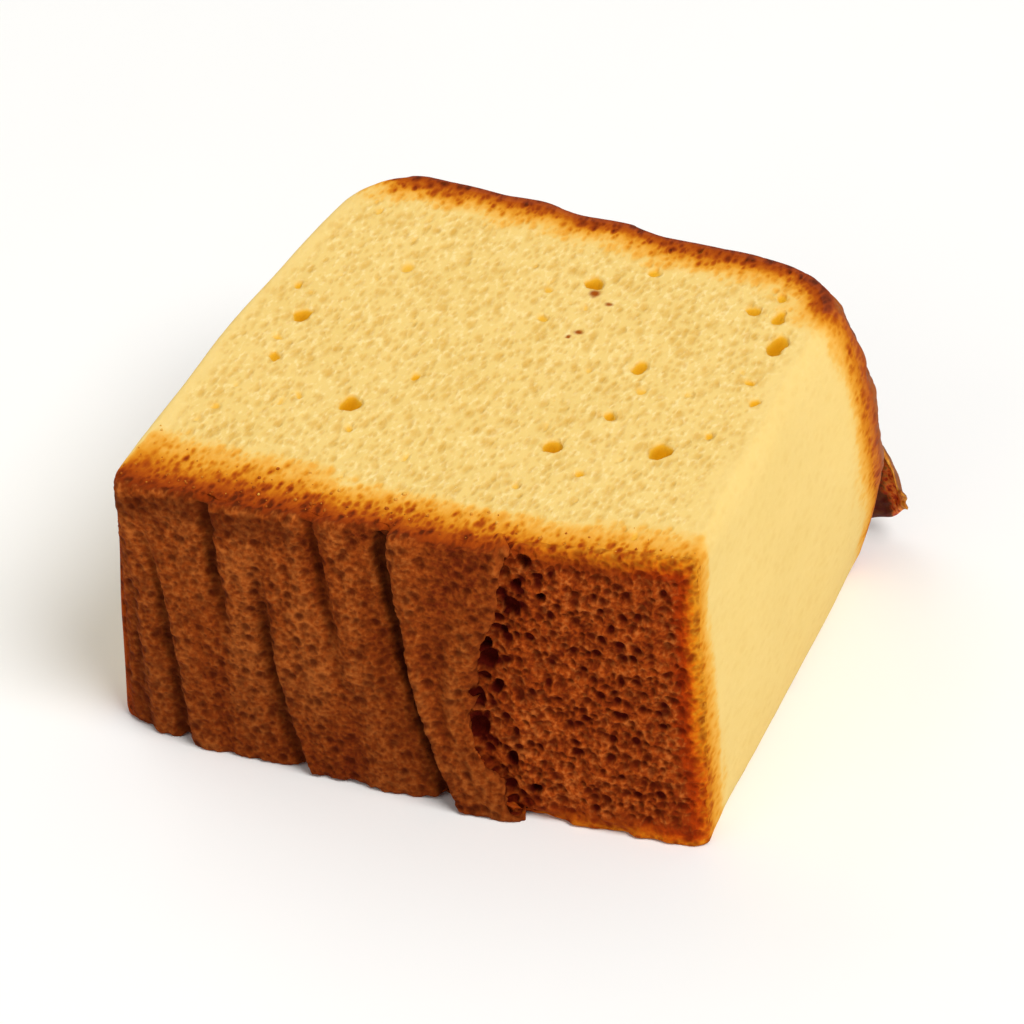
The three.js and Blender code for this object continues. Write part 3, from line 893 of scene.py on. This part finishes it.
# Holes beside the tear: x, height and width.
TEAR_HOLES = (
    (13.1, 28.6, 2.8), (14.6, 35.0, 2.0), (10.4, 20.9, 2.8), (9.2, 11.5, 3.0), (12.9, 7.9, 1.9),
    (15.7, 4.5, 1.6), (9.9, 22.9, 1.8), (11.4, 17.4, 1.8), (8.9, 15.2, 1.9), (13.6, 31.6, 1.5),
    (11.9, 24.9, 1.4), (16.4, 30.4, 1.3))


def make_torn_crumb():
    """Lies deeper than the skin and passes under it: foam riddled with round cells, a gully
    along the skin's edge with deep holes in it, and a crumbling lower arris."""
    path = (((TEAR_AT - TEAR_OVERLAP) / HALF_X, -1), (1, -1), (1, BASE_ENDS[1] + PAST_END))
    border, walls = ribbon(path, TORN_CELLS)
    box, form, _ = walls
    x, up = box[0] * HALF_X, (box[2] + 1) / 2
    past, over_arris = past_tear(x, up), (1 + box[2]) * HALF_Z
    bent = shaken(form, *FOAM_BENDING)
    cells = foam(bent, *TORN_FOAM)
    gully = between(*GULLY, past) * smooth(-0.8, 0.2, noise_in(form, *GULLY_GAPS))
    holes = 0 * x
    for hole_x, height, width in TEAR_HOLES:
        gap = np.hypot(bent[..., 0] - hole_x, (bent[..., 2] - height) / 1.2)
        holes = np.maximum(holes, smooth(width / 2, width / 5, gap))
    deep = np.maximum(CELL_DEPTH * cells + GULLY_DEPTH * gully, HOLE_DEPTH * holes)
    crumbly = smooth(2.6, 0.3, over_arris) * (rough(form, TORN_ARRIS) - 0.25)
    relief = rough(form, *TORN_UNEVEN) + crumbly - deep * smooth(0, 4, over_arris)
    relief = relief * mixed(0.3, 1, smooth(0.55, 0.9, toast(box, form)))
    level = -TEAR_TUCK * smooth(0.4, -0.6, past)
    return make_skin("torn_crumb", walls, border + rough(form, TORN_BORDER), relief, level, {
        # Painted shade in the cells, the gully and the holes.
        "hollow": np.clip(1.15 * cells + 0.3 * gully + 0.8 * holes, 0, 1),
        "corner": smooth(10.0, 3.0, (1 - box[0]) * HALF_X),
        "border": border,
    })


torn_crumb = make_torn_crumb()
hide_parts("castella_slice")


def finish_torn_crumb():
    """Red brown on the walls of the foam, with painted shade, a very dark red, in its cells.
    Towards the right corner and the arrises it glows from dark red to orange, and ends like the
    crumb."""
    finish = Finish("torn_crumb", {"Specular IOR Level": 0.05})
    toasted, grain, _, fine = baked(finish)
    hollow = finish.mark("hollow")
    tone = grain * 0.7 + finish.noise(4.0, 3.0) * 0.3
    walls = finish.stain(
        finish.ramp(tone, (0.36, "#802d08"), (0.5, "#a3440e"), (0.66, "#c46628")),
        # Painted shade in the fine pits and in the cells, gully and holes.
        (fine * 0.45, "#560f02"), (hollow, "#430701"))
    warm = finish.mark("toast") + (grain - 0.5) * 0.3
    orange = finish.ramp(
        warm, (0.5, "#dd951f"), (0.6, "#d6790f"), (0.68, "#ca5a08"), (0.77, "#b23d04"),
        (0.87, "#9c3004"), (1.0, "#8a300a"))
    # Painted shade in the cells and fine pits here too.
    glowing = finish.stain(orange, (hollow * 0.8, "#6d1802"), (fine * 0.3, "#8c2c03"))
    # Painted shade in the cells of the toasted crumb.
    toasted_shaded = finish.mix(hollow * 0.6, toasted, "#6d1802")
    glow = finish.mix(finish.mark("corner"), toasted_shaded, glowing)
    reddened = finish.mix(finish.step(warm, 0.42, 0.6), toasted, glow)
    clad(finish, torn_crumb, finish.step(warm, 0.8, 1.02), reddened, walls, grain, fine)


finish_torn_crumb()

# ------------------------------------------------------------------------------------------
# The top crust: the loaf's own baked skin, domed, wrinkled and a little glossy. It runs round
# both shoulders and ends on the side walls, and its cut edge stands over the crumb.
# ------------------------------------------------------------------------------------------

CROWN_PATH = ((1, 0.6), (1, 1), (-1, 1), (-1, 0.68))
CROWN_CELLS = (462, 186)
# Height, size and seed: of the wrinkles, and of the noise in the border.
WRINKLES = ((0.32, 5.2, 31), (0.2, 2.6, 32), (0.08, 1.2, 33))
CROWN_BORDER = (0.4, 2.4, 37)
WRINKLE_BENDING = (4.0, 1.3, 34)    # size, reach and seed of the noise that bends the wrinkles
# Pits, large and small, given as the crumb's small pores are.
LARGE_PITS = (2.6, (0.25, 0.6), 0.45, 61.0)
SMALL_PITS = (1.1, (0.15, 0.4), 0.6, 62.0)


def make_top_crust():
    """Sharp creases where noise on bent points changes sign, soft swells between them, pits, and
    a ragged border that dips under the crumb."""
    border, walls = ribbon(CROWN_PATH, CROWN_CELLS)
    _, form, normals = walls
    bent = shaken(form, *WRINKLE_BENDING)
    swell = sum(height * (np.abs(noise_in(bent, size, seed)) ** 0.7 * 2 - 1)
                for height, size, seed in WRINKLES)
    large, small = (bubbles(form, normals, *kind) for kind in (LARGE_PITS, SMALL_PITS))
    pits = np.maximum(large, 0.5 * small)
    relief = (swell - 0.7 * pits) * smooth(1.2, 4.0, border)
    return make_skin("top_crust", walls, border + rough(form, CROWN_BORDER), relief, 0, {
        # Painted shade in the creases and pits, and a painted highlight on the swells, come from
        # these.
        "crease": smooth(-0.2, -0.55, swell),
        "swell": np.clip(0.5 + swell, 0, 1),
        "pit": np.clip(pits * 2, 0, 1),
        "border": border,
    })


top_crust = make_top_crust()
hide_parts("castella_slice")


def finish_top_crust():
    """Chestnut brown, glazed by its own sugar, lighter near its border, with painted shade in
    the creases and in the pits that speckle it, and a painted highlight on the swells."""
    finish = Finish("top_crust", {"Specular IOR Level": 0.18})
    toasted, grain, *_ = baked(finish)
    specks = finish.dots(1.1, 0.4)
    # The swells lighten the tone: a painted highlight.
    tone = finish.noise(7.0, 3.0) * 0.5 + grain * 0.3 + finish.mark("swell") * 0.2
    inside = finish.mark("border") + (grain - 0.5) * 2.4
    glazed = finish.stain(
        finish.ramp(tone, (0.32, "#5f260a"), (0.5, "#803b10"), (0.68, "#a2591c")),
        (finish.step(inside, 9.0, 2.5) * 0.75, "#a65613"),
        # Painted shade in the creases, the specks and the pits.
        (finish.mark("crease") * 0.65, "#461504"),
        (specks * 0.45, "#5a1f07"),
        (finish.mark("pit") * 0.75, "#350f03"))
    covered = finish.step(inside, 1.8, 3.4)
    colour = finish.mix(covered, toasted, glazed)
    roughness = 0.88 - covered * 0.25 + (grain - 0.5) * 0.25
    finish.dress(top_crust, colour, roughness, grain * 0.7 - specks * 0.5, 0.14)


finish_top_crust()

# ------------------------------------------------------------------------------------------
# The torn flap: a strip of the top crust that the knife tore loose at the foot of the right
# shoulder. It hangs by its root, narrows to a tip and curls, with crumb on its inner side.
# ------------------------------------------------------------------------------------------

FLAP_FOOT = (2.0, 3.2)              # height of its lower edge at the root and at the tip
FLAP_HEAD = (15.5, 8.8)             # and of its upper edge
FLAP_ROUNDING = 2.8                 # how far the lower edge turns up at the tip
FLAP_CLOSING = 0.28                 # the edges draw together from this share of its reach on
FLAP_CURL = 2.6                     # how far its middle bows back
FLAP_THICKNESS = 1.5                # at the root
FLAP_HOOK = (1.1, 1.0)              # how far its rim and its tip turn forward
FLAP_CELLS = (84, 96)
FOOT_FRAYS = (0.3, 6, 8.3)          # waves of the torn lower edge: height, count, draw
HEAD_FRAYS = (0.6, 8, 7.3)          # and of the upper one
FLAP_ROUGH = ((0.25, 1.8, 51), (0.15, 0.8, 52))    # noise on both faces: height, size, seed
FLAP_PORES = (1.6, (0.3, 0.7), 0.75, 71.0)    # on the inner face, given as the crumb's are


def torn_edge(heights, frays, out):
    """Height of a torn edge along the flap, from the one at the root to the one at the tip, with
    waves of noise."""
    height, count, draw = frays
    return mixed(*heights, smooth(FLAP_CLOSING, 1, out)) + height * noise(out * count, draw)


def make_flap():
    """A slab along its reach and up from foot to head. The middle bows by a sine, the rim turns
    forward and the lower edge turns up at the tip. Noise makes the torn edges ragged and both
    faces rough, and the inner one is open foam."""
    out = np.linspace(-0.1, 1, FLAP_CELLS[0] + 1)[:, None]
    up = np.linspace(0, 1, FLAP_CELLS[1] + 1)[None]
    head = torn_edge(FLAP_HEAD, HEAD_FRAYS, out)
    foot = torn_edge(FLAP_FOOT, FOOT_FRAYS, out) + FLAP_ROUNDING * smooth(0.6, 1, out) ** 2
    to_head, to_foot = (1 - up) * (head - foot), up * (head - foot)
    rim = np.minimum(to_head, (1 - out) * FLAP_REACH)
    ragged = 0.04 * (noise(up * 4, 5.1) - 1) * out ** 4
    turned = FLAP_HOOK[0] * smooth(2.2, 0, to_head) * smooth(0, 0.4, out)
    turned = turned + FLAP_HOOK[1] * smooth(0.72, 1, out)
    x = FLAP_ROOT[0] + FLAP_REACH * (out + ragged)
    y = FLAP_ROOT[1] + FLAP_CURL * np.sin(out * math.pi * 0.85) - turned
    middle = np.stack(np.broadcast_arrays(x, y, mixed(foot, head, up)), -1)
    near_edge = np.minimum(rim, to_foot)
    half = FLAP_THICKNESS * (1 - 0.35 * out) / 2 * np.sqrt(smooth(-0.3, 0.9, near_edge))
    half = half + rough(middle, *FLAP_ROUGH) * smooth(0, 1.2, near_edge)
    forward = np.array([0, -1.0, 0])
    holes = bubbles(middle, forward, *FLAP_PORES)
    pitted = 0.8 * holes * smooth(0, 1, near_edge)
    outer = middle - forward * half[..., None]
    inner = middle + forward * (half - pitted)[..., None]
    (along, across, layer), squares, polygons = lattice(*FLAP_CELLS, 1)
    low_root = smooth(0.85, 0.6, out) * smooth(0.55, 0.2, up)
    marks = {
        "rim": np.clip(rim, 0, 3),
        # The holes and the hollow by the root get painted shade on the inner face.
        "hole": np.clip(holes * 1.5, 0, 1),
        "shade": np.maximum(low_root, 0.85 * smooth(0.7, 0.5, out)),
    }
    picked = {mark: values[along, across] for mark, values in marks.items()}
    picked["inner"] = layer
    points = np.stack([outer, inner])[layer, along, across]
    return make_piece("torn_flap", points, squares, polygons, picked)


flap = make_flap()
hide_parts("castella_slice")


def finish_flap():
    """Outside the top crust's brown. Inside toasted crumb: orange, with painted shade in its cells
    and in the hollow towards the root, which the grain breaks up, and a golden torn rim."""
    finish = Finish("torn_flap", {"Specular IOR Level": 0.25})
    grain, specks = finish.noise(0.6, 4.0), finish.dots(0.9, 0.4)
    shaded = finish.step(finish.mark("shade") + (grain - 0.5) * 1.6, 0.15, 0.85)
    at_rim = finish.step(finish.mark("rim") + (grain - 0.5) * 2.0, 1.6, 0.4)
    inner = finish.stain(
        finish.ramp(grain, (0.38, "#b8380a"), (0.5, "#f0701a"), (0.62, "#ffa040")),
        (shaded * 0.92, "#3c0a01"),
        # Painted shade in the cells.
        (finish.mark("hole") * 0.6, "#6a1602"),
        (at_rim, finish.ramp(grain, (0.3, "#b4600e"), (0.5, "#cb7f1c"), (0.7, "#dca03c"))))
    tone = finish.noise(5.0, 3.0) * 0.5 + grain * 0.5
    outer = finish.ramp(tone, (0.36, "#6e3410"), (0.5, "#8e4a14"), (0.64, "#ab5f1c"))
    # The specks darken both faces as painted shade in small pits.
    colour = finish.stain(outer, (finish.mark("inner"), inner), (specks * 0.25, "#5a1504"))
    finish.dress(flap, colour, 0.7 + (grain - 0.5) * 0.25, grain * 0.8 - specks * 0.5, 0.16)


finish_flap()

# ------------------------------------------------------------------------------------------
# The loose crumbs: specks that the knife rubbed off the browned edge. They stick along the upper
# cut's front arris, each a rough little ball.
# ------------------------------------------------------------------------------------------

CRUMB_COUNT = 140
CRUMB_RADII = (0.09, 0.26)
STRETCH = (0.7, 1.2)                # least and largest, of a crumb's points and of its axes


def ball():
    """A ball of 12 points and 20 triangles: the corners of three crossed golden rectangles, of
    which those 2 apart are neighbours."""
    golden = (1 + 5 ** 0.5) / 2
    points = np.array([np.roll((0, a, b), turn)
                       for turn in range(3) for a in (-1, 1) for b in (-golden, golden)])
    reach = np.linalg.norm(points[:, None] - points[None], axis=-1)
    triangles = [corners for corners in itertools.combinations(range(12), 3)
                 if all(reach[a, b] < 2.1 for a, b in itertools.combinations(corners, 2))]
    turned = [corners if np.linalg.det(points[list(corners)]) > 0 else corners[::-1]
              for corners in triangles]
    return points / np.linalg.norm(points[0]), np.array(turned)


def make_crumbs():
    """Draws places on the upper cut's front part, where the slice is browned but not yet crust,
    sets a ball partly into the surface at each, and makes each one uneven."""
    rng = np.random.default_rng(7)
    browned = crumb_toast * (crumb_toast < 0.95) * is_upper * is_cut * (crumb_box[1] < -0.6)
    weight = browned ** 2
    chosen = rng.choice(len(crumb_points), CRUMB_COUNT, replace=False, p=weight / weight.sum())
    points, triangles = ball()
    turns = np.linalg.qr(rng.normal(size=(CRUMB_COUNT, 3, 3)))[0]
    turns *= np.sign(np.linalg.det(turns))[:, None, None]
    radii = mixed(*CRUMB_RADII, rng.random(CRUMB_COUNT) ** 2)
    uneven = points * rng.uniform(*STRETCH, (CRUMB_COUNT, 12, 1))
    sizes = radii[:, None] * rng.uniform(*STRETCH, (CRUMB_COUNT, 3))
    balls = np.einsum("nij,npj->npi", turns, uneven * sizes[:, None])
    centres = crumb_points[chosen] + crumb_normals[chosen] * 0.3 * radii[:, None]
    placed = (centres[:, None] + balls).reshape(-1, 3)
    squares = (triangles + 12 * np.arange(CRUMB_COUNT)[:, None, None]).reshape(-1, 3)
    tone = np.clip(crumb_toast[chosen] + rng.normal(-0.1, 0.2, CRUMB_COUNT), 0, 1)
    return make_piece("loose_crumbs", placed, squares, [], {"tone": np.repeat(tone, 12)})


crumbs = make_crumbs()


def finish_crumbs():
    """From golden to dark brown, as the surface that each crumb lies on is browned."""
    finish = Finish("loose_crumbs", {"Specular IOR Level": 0.05})
    grain = finish.noise(0.2)
    colour = finish.ramp(
        finish.mark("tone") + (grain - 0.5) * 0.3,
        (0.0, "#e0ac4c"), (0.35, "#d08a2e"), (0.7, "#ad5a1a"), (1.0, "#8a3c10"))
    finish.dress(crumbs, colour, 0.9 + (grain - 0.5) * 0.2, grain, 0.05)


finish_crumbs()

# ------------------------------------------------------------------------------------------
# The floor, flat, plain and pale, with soft studio light and the camera.
# ------------------------------------------------------------------------------------------

FLOOR_SIZE = 6.0                    # metres
WORLD_LIGHT = 0.35                  # strength of the even light from all round
AZIMUTH, ELEVATION, ROLL = (math.radians(angle) for angle in (22.43, 35.45, -1.97))
DISTANCE = 660.0                    # from the target to the camera
VIEW_WIDTH = 120.4                  # what the view spans at the target
TARGET = np.array([-2.97, 6.96, 10.62])    # from the middle of the slice's lower cut
CLIPPING = (0.05, 20.0)             # nearest and farthest that the camera sees, in metres
# Lamps: azimuth and elevation of where each one hangs, distance and width in metres, watts.
LAMPS = (
    ("key", 63, 55, 2.4, 1.3, 45.0),
    ("overhead", 10, 85, 2.5, 2.0, 3.5),
    ("front", -25, 30, 2.5, 1.5, 6.0),
    ("back", 235, 35, 2.5, 2.0, 12.0),
)


def away(azimuth, elevation):
    """The direction from the slice towards azimuth and elevation, both in radians."""
    flat = math.cos(elevation)
    return Vector((math.sin(azimuth) * flat, -math.cos(azimuth) * flat, math.sin(elevation)))


def make_floor():
    """One square face."""
    mesh = bpy.data.meshes.new("floor")
    corners = [(a * FLOOR_SIZE / 2, b * FLOOR_SIZE / 2, 0)
               for a, b in ((-1, -1), (1, -1), (1, 1), (-1, 1))]
    mesh.from_pydata(corners, [], [(0, 1, 2, 3)])
    floor = bpy.data.objects.new("floor", mesh)
    bpy.context.scene.collection.objects.link(floor)
    finish = Finish("floor", {"Specular IOR Level": 0.2})
    grain = finish.noise(30.0, 3.0)
    colour = finish.mix(grain, "#f7f6f3", "#f4f3f0")
    finish.dress(floor, colour, 0.7 + (grain - 0.5) * 0.1, grain, 0.01)


def make_lamp(name, azimuth, elevation, distance, width, watts):
    """A round lamp that shines at the slice from azimuth and elevation, in degrees."""
    light = bpy.data.lights.new(name, "AREA")
    light.shape, light.size, light.energy = "DISK", width, watts
    back = away(math.radians(azimuth), math.radians(elevation))
    turn = back.to_track_quat("Z", "Y").to_matrix().to_4x4()
    lamp = bpy.data.objects.new(name, light)
    lamp.matrix_world = Matrix.Translation(back * distance) @ turn
    bpy.context.scene.collection.objects.link(lamp)


def make_camera():
    """Looks at the target from the distance, level but for a small roll."""
    back = away(AZIMUTH, ELEVATION)
    level = Vector((math.cos(AZIMUTH), math.sin(AZIMUTH), 0))
    right = level * math.cos(ROLL) + back.cross(level) * math.sin(ROLL)
    turn = Matrix((right, back.cross(right), back)).transposed().to_4x4()
    data = bpy.data.cameras.new("camera")
    data.angle = 2 * math.atan(VIEW_WIDTH / 2 / DISTANCE)
    data.clip_start, data.clip_end = CLIPPING
    camera = bpy.data.objects.new("camera", data)
    place = Vector((TARGET + PLACE) * MM) + back * DISTANCE * MM
    camera.matrix_world = Matrix.Translation(place) @ turn
    bpy.context.scene.collection.objects.link(camera)
    bpy.context.scene.camera = camera


make_floor()
for lamp_settings in LAMPS:
    make_lamp(*lamp_settings)
make_camera()

world = bpy.data.worlds.new("studio")
world.use_nodes = True
background = world.node_tree.nodes["Background"].inputs
background["Color"].default_value = (1, 1, 1, 1)
background["Strength"].default_value = WORLD_LIGHT
bpy.context.scene.world = world
bpy.context.scene.view_settings.view_transform = "Standard"
